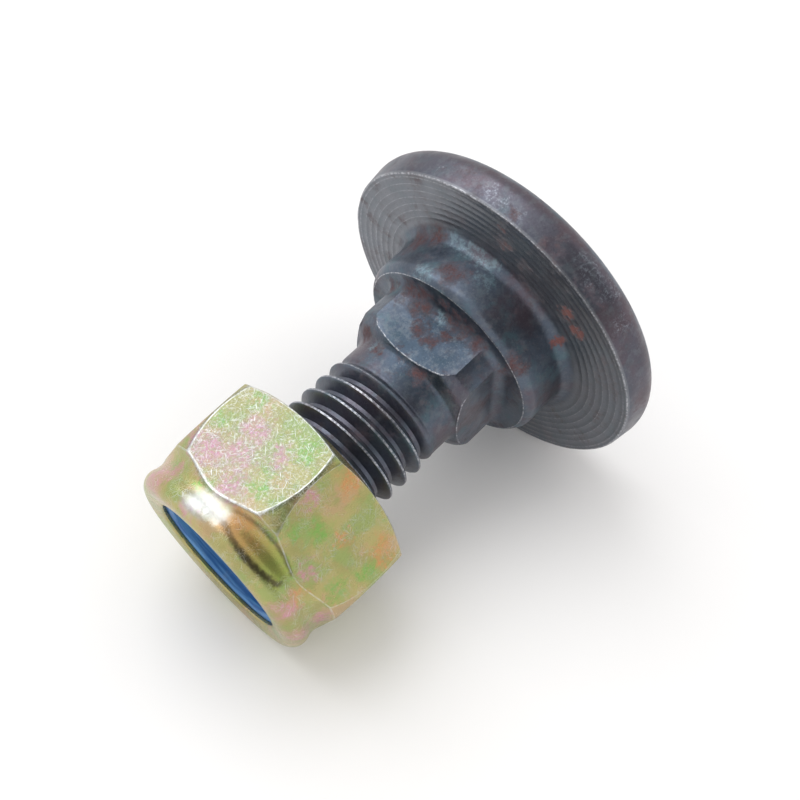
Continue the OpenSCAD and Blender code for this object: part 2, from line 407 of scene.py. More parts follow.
side_r = neck_radius()
side_top = shoulder(side_r)
foot_top = COLLAR_H + NECK_FILLET
on_edge = np.where(side_r < NECK_CORNER_R - 0.01, 1.0, 0.25)
neck = []
# The fillet at the neck's foot, then its sides
for turn in np.radians(np.linspace(0, 90, 8)):
    fillet_r = neck_radius(NECK_FILLET * (1 - math.sin(turn)))
    neck.append((fillet_r, foot_top - NECK_FILLET * math.cos(turn), 0))
for share in (0.3, 0.6, 0.85):
    neck.append((side_r, foot_top + share * (side_top - 0.1 - foot_top), 0))
# The edge where each flat ends, then the turned shoulder
neck.append((side_r, side_top - 0.1, 0.3 * on_edge))
neck.append((side_r - 0.015, side_top - 0.02, on_edge))
neck.append((side_r - 0.07, shoulder(side_r - 0.07) + 0.02, 0.6 * on_edge))
for share in (0.12, 0.3, 0.5, 0.75, 1.0):
    r = side_r - 0.09 + share * (NECK_FLAT_R - side_r + 0.02)
    neck.append((r, shoulder(r), 0.5 * (np.abs(r - BEVEL_R) < 0.08)))
neck = [ring(r, z, worn, neck_angles) for r, z, worn in neck]
print("neck:", len(neck), "rings")

# %% Rings of the plain shank
PLAIN_R = THREAD_INPUTS["Low radius"]
SHOULDER_BLEND = ((0.22, 10.32), (0.1, 10.45), (0.03, 10.62))
PLAIN_RINGS = (10.9, 11.6, THREAD_INPUTS["Low end"])

shank = [ring(PLAIN_R + over, z) for over, z in SHOULDER_BLEND]
shank += [ring(PLAIN_R, z) for z in PLAIN_RINGS]
print("plain shank:", 2 * PLAIN_R, "mm across")

# %% [markdown]
# ## The bolt in one piece
# Head, neck and thread are one forging, so their skins are welded into one closed mesh. The
# end of the bolt is slightly dished, as rolled threads are, and hides inside the nut.

# %% Welding a skin and laying it down
SLIVER, SHARP_FROM = 0.0005, math.radians(28)


def finish_piece(mesh, name, material, body, node):
    """Welds a skin, lays it down in the frame, hangs it on its body and hides the solid that it replaces.
    """
    bmesh.ops.remove_doubles(mesh, verts=mesh.verts, dist=WELD)
    bmesh.ops.dissolve_degenerate(mesh, edges=mesh.edges, dist=SLIVER)
    bmesh.ops.recalc_face_normals(mesh, faces=mesh.faces)
    open_edges = sum(len(e.link_faces) != 2 for e in mesh.edges)
    volume = mesh.calc_volume()
    data = bpy.data.meshes.new(name)
    mesh.to_mesh(data)
    mesh.free()
    data.transform(LAY)
    data.materials.clear()
    data.materials.append(material)
    for face in data.polygons:
        face.use_smooth = True
        face.material_index = 0
    data.set_sharp_from_angle(angle=SHARP_FROM)
    piece = bpy.data.objects.new(name, data)
    bpy.context.scene.collection.objects.link(piece)
    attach(piece, body)
    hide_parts(node)
    triangles = sum(len(f.vertices) - 2 for f in data.polygons)
    print(name, "triangles", triangles, "open edges", open_edges, "volume mm3", round(volume, 1))


# %% The bolt
BOLT_END, BOLT_TURNS = THREAD_INPUTS["High end"], 12
DISHED_END = ((THREAD_INPUTS["High radius"], 0), (4.1, 0), (3.7, -0.07), (1.5, -0.15))

bolt_skin = bmesh.new()
bolt_skin.from_mesh(thread_mesh(BOLT_TURNS * ROWS_PER_PITCH, dark_steel))
skin(bolt_skin, head + collar + neck + shank, close_first=True)
skin(bolt_skin, [ring(r, BOLT_END + z) for r, z in DISHED_END], close_last=True)
finish_piece(bolt_skin, "bolt_forging", dark_steel, "bolt", "bolt")

# %% [markdown]
# ## The nut
# A hexagon with turned ends. On each flat the bearing chamfer and the crown chamfer leave an
# arc, and the forged corners are narrow cone strips that widen towards the crown. The rings
# follow those lines: part of the points stay on the flats and part on the corner strips.
# Above the hexagon the wall narrows into a hollow, swells into the round crown and ends in a
# thin lip that is rolled in over the nylon ring, so arcs give that part.

# %% The nut's lines: bearing chamfer, corner arc and crown hollow
SEAT, NUT_FLAT_R, BEARING_R = 21.2, 9.5, 9.4
NUT_CORNER_R, CORNER_MIDDLE, CORNER_CURVE = 10.9, SEAT + 3.6, 20.0
CROWN_R, CROWN_Z, CROWN_ROUND = 8.25, SEAT + 10.9, 1.3
HOLLOW_R, HOLLOW_Z, HOLLOW_ROUND = 11.1, SEAT + 9.814, 1.75


def bearing_line(r):
    return SEAT + (r - BEARING_R) * math.tan(math.radians(30))


def crown_line(r):
    return HOLLOW_Z - np.sqrt(HOLLOW_ROUND ** 2 - (HOLLOW_R - r) ** 2)


def corner_at(share):
    """Radius of the corners at a share of their length, where height and radius agree."""
    r = NUT_CORNER_R
    for _ in range(6):
        z = bearing_line(r) + share * (crown_line(r) - bearing_line(r))
        r = NUT_CORNER_R - CORNER_CURVE + math.sqrt(CORNER_CURVE ** 2 - (z - CORNER_MIDDLE) ** 2)
    return r


print("the nut's corners:", [round(2 * corner_at(share), 2) for share in (0, 0.5, 1)], "mm across")

# %% Angles of the nut's sides
SECTOR, ON_FLAT, STRIP_EDGE = STEPS // 6, 9, math.radians(0.8)


def nut_angles(corner_radius):
    """Angles that keep part of the points on the flats and part on the corner strips."""
    edge = math.acos(NUT_FLAT_R / corner_radius)
    half = [(edge - STRIP_EDGE) * k / (ON_FLAT - 1) for k in range(ON_FLAT)] + [edge]
    rest = SECTOR // 2 - ON_FLAT
    half += [edge + (math.pi / 6 - edge) * k / rest for k in range(1, rest + 1)]
    sector = half + [math.pi / 3 - a for a in half[-2:0:-1]]
    return np.array([s * math.pi / 3 + a for s in range(6) for a in sector])


def side(share):
    """Radii, heights and angles round the nut, from the bearing arcs at 0 to the crown arcs at 1."""
    corner = corner_at(share)
    angles = nut_angles(corner)
    from_middle = (angles + math.pi / 6) % (math.pi / 3) - math.pi / 6
    r = np.minimum(NUT_FLAT_R / np.cos(from_middle), corner)
    return r, bearing_line(r) + share * (crown_line(r) - bearing_line(r)), angles


strip_edge = np.zeros(SECTOR)
strip_edge[[ON_FLAT, SECTOR - ON_FLAT]] = 1.0
strip_edge = np.tile(strip_edge, 6)
print("each side of the nut has", SECTOR, "points")

# %% Rings of the bearing face and the nut's sides
MOUTH_R, BROKEN_EDGE = 6.75, 0.9985

nut_rings = [ring(r, SEAT) for r in (MOUTH_R, 7.6, 8.6)]
nut_rings.append(ring(BEARING_R - 0.1, SEAT, 0.3))
nut_rings.append(ring(BEARING_R + 0.02, SEAT + 0.02, 0.6))
r, z, angles = side(0)
nut_rings.append(ring(r - 0.06, z - 0.035, 0.8, angles))
nut_rings.append(ring(r * BROKEN_EDGE, z + 0.02, 1.0, angles))
for share in (0.012, 0.1, 0.25, 0.4, 0.55, 0.7, 0.85, 0.95, 0.985):
    r, z, angles = side(share)
    near_end = 0.3 * (share < 0.1) + 0.4 * (share > 0.95)
    nut_rings.append(ring(r, z, np.maximum(near_end, strip_edge), angles))
top_r, top_z, top_angles = side(1)
nut_rings.append(ring(top_r * BROKEN_EDGE, top_z, 1.0, top_angles))
print("nut's sides:", len(nut_rings), "rings")

# %% Rings of the hollow and the crown
hollow_start = np.arccos((HOLLOW_R - top_r) / HOLLOW_ROUND)
touch = math.degrees(math.atan2(CROWN_Z - HOLLOW_Z, HOLLOW_R - CROWN_R))

for share in (0.05, 0.2, 0.4, 0.6, 0.8, 1.0):
    turn = hollow_start * (1 - share)
    hollow_r = HOLLOW_R - HOLLOW_ROUND * np.cos(turn)
    hollow_z = HOLLOW_Z - HOLLOW_ROUND * np.sin(turn)
    evened = top_angles * (1 - share) + AROUND * share
    nut_rings.append(ring(hollow_r, hollow_z, 0.8 * (share < 0.1), evened))
hollow_end = arc(HOLLOW_R, HOLLOW_Z, HOLLOW_ROUND, 180, 180 - touch, count=5)[1:-1]
crown = arc(CROWN_R, CROWN_Z, CROWN_ROUND, -touch, 95, count=18)
nut_rings += [ring(r, z) for r, z in hollow_end + crown]
print("hollow and crown:", len(nut_rings), "rings so far")

# %% Rings of the rolled lip and the seat under it
LIP_R, LIP_UNDER, RING_SEAT_R, RING_SEAT_H, NUT_BORE_R = 6.75, 11.6, 7.75, 8.0, 6.1
UNEVEN_BELOW = 12

# Radius, height over the bearing face and wear of each ring of the lip
lip = [(7.6, 12.13, 0), (7.2, 12.07, 0), (6.95, 12.02, 0.2), (6.82, 11.95, 0.3)]
lip += [(LIP_R, 11.84, 0.2), (LIP_R + 0.02, 11.7, 0)]
for r, h, worn in lip:
    uneven = ragged(FINE_DENTS) * (h < UNEVEN_BELOW)
    nut_rings.append(ring(r + uneven, SEAT + h, worn))
nut_rings += [ring(r, SEAT + LIP_UNDER) for r in (6.8, 7.3, RING_SEAT_R)]
nut_rings += [ring(RING_SEAT_R, SEAT + h) for h in (9.6, RING_SEAT_H)]
nut_rings += [ring(r, SEAT + RING_SEAT_H) for r in (6.9, NUT_BORE_R)]
print("nut:", len(nut_rings), "rings in all")

# %% The nut, with its own thread inside
NUT_TURNS, TURNS_BELOW = 8, 5
nut_thread = {
    "Crest radius": 6.03, "Root radius": 5.12, "Flank meets at": 6.25,
    "First crest": THREAD_INPUTS["First crest"] + TURNS_BELOW * THREAD_INPUTS["Pitch"],
    "Low end": SEAT, "Low radius": MOUTH_R, "Low fade": 0.8,
    "High end": SEAT + RING_SEAT_H, "High radius": NUT_BORE_R, "High fade": 0.5,
}
nut_skin = bmesh.new()
nut_skin.from_mesh(thread_mesh(NUT_TURNS * ROWS_PER_PITCH, yellow_zinc, nut_thread))
skin(nut_skin, nut_rings)
finish_piece(nut_skin, "lock_nut", yellow_zinc, "nut", "nut")

# %% [markdown]
# ## The nylon ring
# A plain ring of blue nylon sits in the crown under the rolled lip. A squeezed torus would
# come close, but a profile of points gives the flat sides and the rounded inner edges as
# they are. It is a stack of rings like the rest, and its last ring meets its first.

# %% Rings of the nylon ring
NYLON_LOW, NYLON_TOP, NYLON_R, NYLON_BORE = SEAT + 8.05, SEAT + 11.55, 7.7, 5.99
NYLON_MIDDLE, NYLON_ROUND, NYLON_BREAK = 6.9, 0.3, 0.1

round_r = NYLON_BORE + NYLON_ROUND
outside = [(round_r, NYLON_LOW), (NYLON_MIDDLE, NYLON_LOW), (NYLON_R - NYLON_BREAK, NYLON_LOW)]
outside += [(NYLON_R, NYLON_LOW + NYLON_BREAK), (NYLON_R, NYLON_TOP - NYLON_BREAK)]
outside += [(NYLON_R - NYLON_BREAK, NYLON_TOP), (NYLON_MIDDLE, NYLON_TOP)]
inside = arc(round_r, NYLON_TOP - NYLON_ROUND, NYLON_ROUND, 90, 180, count=6)
inside += [(NYLON_BORE, NYLON_LOW + 2.0), (NYLON_BORE, NYLON_LOW + 1.0)]
inside += arc(round_r, NYLON_LOW + NYLON_ROUND, NYLON_ROUND, 180, 270, count=6)
nylon_skin = bmesh.new()
skin(nylon_skin, [ring(r, z) for r, z in outside + inside])
finish_piece(nylon_skin, "nylon_insert", blue_nylon, "ring", "nylon_ring")

# %% [markdown]
# ## Materials
# All patterns are read on the bolt's own axis, in millimetres, so that a rust stain or a
# passivation patch has a real size and turns with its piece. The helpers below read that
# point, make grain from noise, and make stains at chosen places. A stain is measured from a
# point that noise has moved about, so its outline is torn instead of round. Painted pictures
# could show the same, but each piece would first have to be unwrapped onto them.

# %% Coordinates on the bolt's axis, grain and stains
def surface(material):
    """A cleared tree with its shader and output, and the point on the bolt's axis in mm."""
    material.use_nodes = True
    tree = material.node_tree
    tree.nodes.clear()
    start = Sum(tree, None)
    point = start.node("ShaderNodeTexCoord", output="Object")
    point = (point - tuple(foot)) * (1 / MM)
    point = start.node("ShaderNodeVectorRotate", {"rotation_type": "Y_AXIS"},
                       {"Vector": point, "Angle": -TIP})
    shader = start.node("ShaderNodeBsdfPrincipled")
    start.node("ShaderNodeOutputMaterial", None, {"Surface": shader})
    return point, shader


def noise(point, scale, detail=3.0, roughness=0.55, output=0):
    return point.node("ShaderNodeTexNoise", None, {
        "Vector": point, "Scale": scale, "Detail": detail, "Roughness": roughness}, output)


def ragged_point(point, amount, scale):
    """The point moved about by noise, so that what is drawn with it gets torn outlines."""
    return point + (noise(point, scale, 5.0, 0.7, "Color") - 0.5) * amount


def stains(point, spots, soft=0.6):
    """1 inside soft spots, given as x, y, z and radius in mm, and 0 outside them."""
    mask = 0.0
    for x, y, z, size in spots:
        near = 1.0 - (point - (x, y, z)).length() / size
        mask = near.most(mask)
    return mask.smooth(0.0, soft)


def rubbed_edges(point):
    """The value named worn that every point of the mesh carries."""
    return point.node("ShaderNodeAttribute", {"attribute_name": "worn"}, output="Fac")


def bump(height, strength, depth):
    """Turns a height, 0 to 1, into a normal; the depth is in millimetres."""
    return height.node("ShaderNodeBump", None, {
        "Strength": strength, "Distance": depth * MM, "Height": height})


def dress(shader, **values):
    """Fills the shader's sockets by their names, with an underscore for each space."""
    for name, value in values.items():
        shader.plug(shader.socket.node.inputs[name.replace("_", " ")], value)


print("materials are drawn from", [round(v / MM, 2) for v in foot], "mm, where the axis begins")

# %% [markdown]
# ## Black oxide, rust and rubbed steel
# The bolt is blackened: a thin blue-grey oxide with cloudy teal and wine-red areas, a little
# lighter where the face was turned. Where it has rubbed off, on the thread's crests and the
# sharp edges, bare steel shines through, and where oil was missing, red-brown rust has
# started. Three spots of fresh rust sit on the face. Pale patches on the collar and on the
# plain shank are painted highlights, and the scuffs on the rim are partly painted highlight.
# Each spot below is a place that shows on the real bolt: x, y and z on its own axis, and a
# radius.

# %% Places of rust, of scuffs that are partly painted highlight, and of painted highlights
RUST_SPOTS = {
    "collar": [
        (-7.5, -6.0, 1.4, 2.4), (-9.0, -4.2, 0.5, 2.0), (-9.5, -0.2, 3.2, 1.7), (-9.5, 0.9, 2.6, 1.0),
        (-5.2, 7.8, 4.7, 1.3), (-3.6, 7.2, 5.0, 1.1), (-4.4, 8.4, 4.5, 1.2)],
    "neck's foot": [
        (-6.8, -2.9, 5.1, 1.6), (-7.5, -1.6, 5.0, 1.3), (-5.7, -5.1, 5.1, 1.3), (-6.3, -1.3, 5.6, 1.6),
        (-6.4, 1.2, 5.0, 0.9), (-6.0, 2.5, 5.0, 1.4), (-5.6, 4.7, 5.2, 1.4), (-7.6, 0.6, 5.1, 1.2),
        (-7.3, 2.2, 5.0, 1.2), (-6.8, 3.6, 5.0, 1.2)],
    "upper flat": [(-6.1, -0.2, 7.5, 1.2), (-5.9, 2.0, 6.7, 0.8), (-5.9, 1.4, 7.8, 1.0)],
    "shoulder": [(-5.0, 2.7, 10.6, 1.3), (-4.7, -4.1, 10.2, 1.2), (-5.4, -1.6, 11.2, 0.9)],
    "face and rim": [(-12.5, 3.2, 0.0, 1.2), (-15.8, 3.7, -0.8, 0.8), (-14.2, 3.0, 0.0, 0.7)],
}
FRESH_RUST_SPOTS = [(-8.6, 9.5, 0.0, 0.95), (-6.9, 10.6, 0.0, 0.95), (-4.5, 8.9, 0.3, 0.85)]
# Scuffs on the rim, partly wear and partly a painted highlight where the rim mirrors the lamp
SCUFF_AND_HIGHLIGHT_SPOTS = [
    (-16.2, 0.8, -1.3, 1.1), (-16.1, 2.2, -1.0, 1.0), (-15.7, 4.0, -1.0, 0.9), (-15.6, -4.7, -1.2, 0.8),
    (-12.9, 10.1, -2.0, 1.5), (-12.2, 10.9, -1.7, 1.4), (-11.0, 12.1, -2.3, 1.4), (-8.7, 13.8, -1.6, 1.2),
]
# Painted highlights: the lamp's reflection on the collar, its fillet and the swell of the plain shank,
# drawn as pale patches
PAINTED_HIGHLIGHT_SPOTS = [
    (-9.7, -2.0, 0.5, 1.3), (-9.7, -0.3, 0.5, 1.3), (-9.7, 1.2, 0.5, 1.2), (-9.6, 2.2, 0.5, 1.0),
    (-6.0, 0.5, 5.2, 1.0), (-9.2, -2.1, 4.4, 1.4), (-9.3, 2.5, 1.9, 1.2), (-5.2, -2.3, 11.0, 0.8),
]
# Darker round the neck's upper flat
DARK_FLAT = [(-6.0, 1.5, 8.2, 5.5)]
print("rust on", ", ".join(RUST_SPOTS), "and", len(FRESH_RUST_SPOTS), "fresh spots")

# %% Colours of the oxide, the rust, the bare steel and the painted highlights
STEEL = {
    "deep oxide": (0.074, 0.088, 0.117), "blue-grey oxide": (0.1, 0.125, 0.165),
    "teal": (0.095, 0.165, 0.195), "wine red": (0.125, 0.085, 0.1), "darker upper flat": (0.042, 0.065, 0.095),
    "rim": (0.115, 0.08, 0.092), "turned face": (0.22, 0.228, 0.25), "in the thread": (0.11, 0.108, 0.138),
    "light grain": (0.25, 0.27, 0.29), "dark grain": (0.04, 0.042, 0.052), "mottling": (0.16, 0.18, 0.2),
    "painted highlight": (0.23, 0.33, 0.38), "scuff and highlight": (0.42, 0.47, 0.54), "bare steel": (0.5, 0.51, 0.55),
    "old rust": (0.09, 0.042, 0.046), "lighter rust": (0.14, 0.06, 0.06),
    "fresh rust": (0.16, 0.06, 0.055), "brighter fresh rust": (0.24, 0.08, 0.065),
}
print(len(STEEL), "colours on the bolt")

# %% Clouds of the oxide
point, shader = surface(dark_steel)
height = point.node("ShaderNodeSeparateXYZ", None, {0: point}).other(2)
radius = (point * (1.0, 1.0, 0.0)).length()
torn = ragged_point(point, 3.2, 0.9)
clouds = noise(point, 0.22, 4.0, 0.6)
patches = noise(point + 40.0, 0.5, 4.0, 0.65)
wine = noise(point + 9.0, 0.16, 5.0, 0.6)

colour = clouds.smooth(0.38, 0.62).blend(STEEL["deep oxide"], STEEL["blue-grey oxide"])
colour = (patches.smooth(0.5, 0.66) * 0.6).blend(colour, STEEL["teal"])
colour = (wine.smooth(0.5, 0.64) * 0.6).blend(colour, STEEL["wine red"])
# Darker round the neck's upper flat
colour = (stains(torn, DARK_FLAT) * 0.85).blend(colour, STEEL["darker upper flat"])
print("oxide: blue-grey, teal and wine-red clouds")

# %% Rim, turned face and thread
THREAD_START = THREAD_INPUTS["Low end"]

on_rim = radius.smooth(FACE_R - 0.2, FACE_R + 0.2)
turned = height.smooth(-0.3, -0.15) * radius.smooth(10.2, 10.9)
in_thread = height.smooth(THREAD_START - 0.7, THREAD_START + 1.0)
in_thread = in_thread * radius.smooth(THREAD_INPUTS["Crest radius"], 5.5)
rim_share = height.smooth(-1.8, -3.4) * 0.35 + 0.45

colour = (on_rim * rim_share).blend(colour, STEEL["rim"])
colour = (turned * 0.65).blend(colour, STEEL["turned face"])
colour = (in_thread * 0.5).blend(colour, STEEL["in the thread"])
print("the rim is redder, the turned face lighter")

# %% Grain, painted highlights, and scuffs that are partly painted highlight
grain = noise(point, 5.0, 3.0, 0.7)
mottling = noise(point + 3.0, 1.1, 6.0, 0.75)
pale = stains(torn, PAINTED_HIGHLIGHT_SPOTS) * noise(point, 2.0, 5.0, 0.75).smooth(0.4, 0.62)
scuffed_and_highlit = stains(torn, SCUFF_AND_HIGHLIGHT_SPOTS) * noise(point, 3.6, 4.0, 0.8).smooth(0.47, 0.66)

colour = (grain.smooth(0.58, 0.75) * 0.35).blend(colour, STEEL["light grain"])
colour = (grain.smooth(0.45, 0.28) * 0.4).blend(colour, STEEL["dark grain"])
colour = (mottling.smooth(0.48, 0.62) * 0.35).blend(colour, STEEL["mottling"])
# Painted highlight on the collar and the shank, in pale colour
colour = (pale * 0.55).blend(colour, STEEL["painted highlight"])
# Scuffs, partly a painted highlight
colour = (scuffed_and_highlit * 0.4).blend(colour, STEEL["scuff and highlight"])
print("scuffs:", len(SCUFF_AND_HIGHLIGHT_SPOTS), "and pale places:", len(PAINTED_HIGHLIGHT_SPOTS))

# %% Rust
faint_rust = noise(point - 17.0, 0.4, 6.0, 0.75).smooth(0.52, 0.7) * 0.5
rust_spots = sum(RUST_SPOTS.values(), [])
rust = (stains(torn, rust_spots, 0.9) * 0.9).most(faint_rust)
rust_colour = grain.smooth(0.35, 0.65).blend(STEEL["old rust"], STEEL["lighter rust"])
mottled = noise(point + 5.0, 1.4, 6.0, 0.8).smooth(0.34, 0.6) * 0.8 + 0.2
fresh = stains(ragged_point(point, 3.0, 1.5), FRESH_RUST_SPOTS, 0.5)
fresh_colour = grain.smooth(0.4, 0.6).blend(STEEL["fresh rust"], STEEL["brighter fresh rust"])

colour = (rust * mottled).blend(colour, rust_colour)
colour = (fresh * 0.85).blend(colour, fresh_colour)
print("rust spots:", len(rust_spots))

# %% Rubbed steel, and the finish as a whole
worn = rubbed_edges(point)
glints = noise(point, 3.6, 4.0, 0.75).smooth(0.45, 0.58) * 0.85 + 0.15
rubbed = worn.smooth(0.45, 0.95) * glints * (clouds - patches + 0.5).smooth(0.2, 0.5)
on_ridges = turned * radius.smooth(FACE_R - 0.1, FACE_R - 0.3)
colour = (rubbed * (0.9 - on_ridges * 0.45)).blend(colour, STEEL["bare steel"])

stained = rust.most(fresh)
roughness = stained.mix(0.38 + (patches - 0.5) * 0.5, 0.85).least(rubbed.mix(1.0, 0.3))
dress(shader, Base_Color=colour, Metallic=(1.0 - stained) * 0.85, Roughness=roughness,
      Normal=bump(grain * 0.5 + patches + rust * 0.3, 0.3, 0.08))
print("black oxide:", len(dark_steel.node_tree.nodes), "nodes")

# %% [markdown]
# ## Yellow-passivated zinc
# The nut is zinc-plated and dipped in a chromate bath. The film is so thin that its colour
# wanders between olive, green, pink and gold, and every knock and the spanner's jaws leave
# bright scratches in it. The scratches are noise, stretched along six directions on the
# nut's unrolled side, so that they run straight and cross each other. The hollow below the
# crown has a painted reflection of dark surroundings: two dark lines with a golden middle.
# The crown beside it has a painted highlight in bright zinc, and painted shade darkens the
# flat that faces up and turns it bluer.

# %% Colours of the film, of bright zinc, and of the painted light
ZINC = {
    "olive": (0.36, 0.34, 0.13), "straw": (0.47, 0.41, 0.17), "yellow-green": (0.29, 0.4, 0.13),
    "copper": (0.56, 0.36, 0.22), "green": (0.22, 0.42, 0.1), "orange": (0.62, 0.29, 0.12),
    "pink": (0.58, 0.28, 0.33), "gold": (0.5, 0.28, 0.1), "green gold": (0.32, 0.36, 0.08),
    # The dark of the painted reflection, and bright zinc, which also serves the painted highlight on the
    # crown
    "smear": (0.07, 0.055, 0.03), "bright zinc and painted highlight": (0.82, 0.86, 0.88),
    # Painted shade for the flat that faces up
    "painted shade of the upper flat": (0.56, 0.61, 0.72),
}
print(len(ZINC), "colours on the nut")

# %% Places of the film's patches
PINK_SPOTS = [
    (-9.5, -1.4, 24.6, 2.3), (-9.5, -3.0, 28.2, 2.6), (-9.5, -0.6, 27.0, 2.6), (-9.5, 0.9, 29.2, 2.2),
    (-9.5, 2.0, 25.0, 1.7), (-8.7, 5.9, 25.6, 1.3), (-4.6, 8.3, 29.1, 1.3), (-8.2, -4.5, 31.2, 1.7),
    (-9.3, -4.9, 28.0, 1.8), (-9.2, -0.3, 32.7, 1.2), (0.7, 9.5, 30.2, 1.8),
    (-3.4, 8.6, 32.2, 1.8), (-7.0, -5.5, 32.5, 2.6), (0.6, 8.9, 32.4, 2.0),
]
GREEN_SPOTS = [
    (-9.5, -4.3, 25.7, 1.2), (-9.5, -3.1, 22.4, 1.4), (-9.5, 2.3, 26.0, 1.3), (-9.5, 3.2, 23.2, 2.0),
    (-9.5, 3.0, 27.8, 1.3), (-9.5, -1.2, 27.9, 1.0), (-1.2, 10.3, 25.3, 1.6), (-6.3, 7.3, 26.4, 1.7),
    (-1.9, 9.9, 28.4, 1.5), (-7.8, 6.4, 28.2, 1.2), (-9.3, -1.1, 30.7, 1.1), (-8.0, -5.1, 30.3, 1.1),
    (-8.2, 4.6, 30.9, 1.2), (-5.5, 7.6, 30.5, 1.2), (-8.1, 5.7, 29.7, 0.9),
]
ORANGE_SPOTS = [
    (-7.4, 6.6, 22.3, 1.7), (-1.7, 10.0, 23.1, 1.7), (-0.8, 10.5, 24.0, 1.0), (-8.8, 3.4, 30.6, 1.0),
    (-3.6, 8.6, 31.1, 1.4), (-7.8, 5.2, 31.1, 1.0), (-4.5, 8.3, 25.4, 1.0),
]
# Painted highlight on the crown, where the lamp's reflection falls, drawn as bright zinc
PAINTED_CROWN_HIGHLIGHT_SPOTS = [(-9.4, -0.2, 31.8, 1.7), (-9.3, 0.9, 31.5, 1.8), (-9.2, 1.8, 31.4, 1.4)]
FILMS = (
    (GREEN_SPOTS, ZINC["green"]),
    (ORANGE_SPOTS, ZINC["orange"]),
    (PINK_SPOTS, ZINC["pink"]),
)
print("patches of the film:", [len(spots) for spots, film in FILMS])

# %% The passivation film
point, shader = surface(yellow_zinc)
x = point.node("ShaderNodeSeparateXYZ", None, {0: point})
y, height = x.other(1), x.other(2)
upper_flat = (x * -1.0).smooth(NUT_FLAT_R - 0.25, NUT_FLAT_R - 0.05)
torn = ragged_point(point, 4.4, 1.0)
wander = noise(point, 0.3, 4.0, 0.6)
second = noise(point + 23.0, 0.34, 4.0, 0.6)
broken = noise(point, 2.4, 6.0, 0.85).smooth(0.4, 0.58) * 0.68 + 0.32

colour = wander.smooth(0.35, 0.65).blend(ZINC["olive"], ZINC["straw"])
colour = (second.smooth(0.5, 0.62) * 0.6).blend(colour, ZINC["yellow-green"])
colour = (second.smooth(0.47, 0.36) * 0.6).blend(colour, ZINC["copper"])
for spots, film in FILMS:
    colour = (stains(torn, spots, 0.9) * broken).blend(colour, film)
# Painted shade: the flat that faces up, towards the lamp, is darkened and turned bluer
colour = colour * upper_flat.blend((1, 1, 1), ZINC["painted shade of the upper flat"])
print("film: olive with", sum(len(spots) for spots, film in FILMS), "patches")

# %% The painted reflection in the hollow below the crown
PAINTED_REFLECTION_TURN, PAINTED_REFLECTION_HALF_TURN, PAINTED_REFLECTION_LOW, PAINTED_REFLECTION_HIGH = 0.62, 0.38, 29.8, 32.2

turn = y.sum("ARCTAN2", y, x * -1.0)
along = (turn - PAINTED_REFLECTION_TURN) / PAINTED_REFLECTION_HALF_TURN
bend = along * along
drift = (noise(point, 2.2, 5.0, 0.7) - 0.5) * 0.9
from_top = (height + drift - (PAINTED_REFLECTION_HIGH - bend * 0.8)).do("ABSOLUTE")
from_low = (height + drift * 0.4 - (PAINTED_REFLECTION_LOW + bend * 0.6)).do("ABSOLUTE")
in_smear = 1.0 - bend.smooth(0.75, 1.1)
above_low = height.smooth(PAINTED_REFLECTION_LOW - 0.1, PAINTED_REFLECTION_LOW + 0.3)
below_high = 1.0 - height.smooth(PAINTED_REFLECTION_HIGH - 0.3, PAINTED_REFLECTION_HIGH + 0.1)
gold = along.smooth(-0.5, 0.5).blend(ZINC["gold"], ZINC["green gold"])
# Painted reflection of dark surroundings: two dark lines, with a golden middle between them
smear = (1.0 - from_top.smooth(0.05, 0.45)).most((1.0 - from_low.smooth(0.0, 0.3)) * 0.85)
smear = smear * in_smear * along.smooth(-1.3, 0.1).mix(0.45, 1.0)

colour = (in_smear * above_low * below_high * 0.75).blend(colour, gold)
colour = (smear * 0.85).blend(colour, ZINC["smear"])
print("smear: two dark lines", round(PAINTED_REFLECTION_HIGH - PAINTED_REFLECTION_LOW, 2), "mm apart with gold between them")

# %% Scratches in six directions
SCRATCHES = {15: 16.9, 48: 10.4, 80: 18.2, 112: 15.6, 140: 9.1, 165: 16.9}

unrolled = point.node("ShaderNodeCombineXYZ", None, {0: turn * NUT_FLAT_R, 1: height, 2: 0.0})
scratches = 0.0
for degrees, thinness in SCRATCHES.items():
    lengthwise = point.node("ShaderNodeVectorRotate", {"rotation_type": "Z_AXIS"},
                            {"Vector": unrolled, "Angle": math.radians(degrees)})
    line = noise(lengthwise * (0.75, thinness, 1.0) + degrees, 1.0, 2.0, 0.5)
    scratches = line.smooth(0.62, 0.7).most(scratches)
battered = noise(point + 61.0, 0.45, 3.0, 0.6).smooth(0.42, 0.6)
scratches = scratches * (battered * 0.4 + upper_flat * 0.45)
specks = noise(point, 4.5, 5.0, 0.85).smooth(0.5, 0.68) * (battered * 0.2 + upper_flat * 0.55)
print("scratches at", list(SCRATCHES), "degrees")

# %% Rubbed zinc, the painted highlight on the crown, and the finish as a whole
grain = noise(point, 6.0, 3.0, 0.7)
patchy = noise(point, 2.5, 3.0, 0.7).smooth(0.35, 0.6) * 0.7 + 0.3
rubbed = rubbed_edges(point).smooth(0.5 - upper_flat * 0.3, 1.0 - upper_flat * 0.25) * patchy
# The painted highlight on the crown, drawn as bright zinc
bare = stains(ragged_point(point, 1.4, 1.2), PAINTED_CROWN_HIGHLIGHT_SPOTS, 0.9) * 0.9
bright = scratches.most(specks).most(rubbed * (0.45 + upper_flat * 0.55)).most(bare)
colour = (bright * 0.8).blend(colour, ZINC["bright zinc and painted highlight"])

dress(shader, Base_Color=colour, Metallic=0.8,
      Roughness=0.26 + (wander - 0.5) * 0.2 + bright * 0.15,
      Normal=bump(grain * 0.5 - scratches * 0.5 + wander, 0.35, 0.08))
print("zinc:", len(yellow_zinc.node_tree.nodes), "nodes")

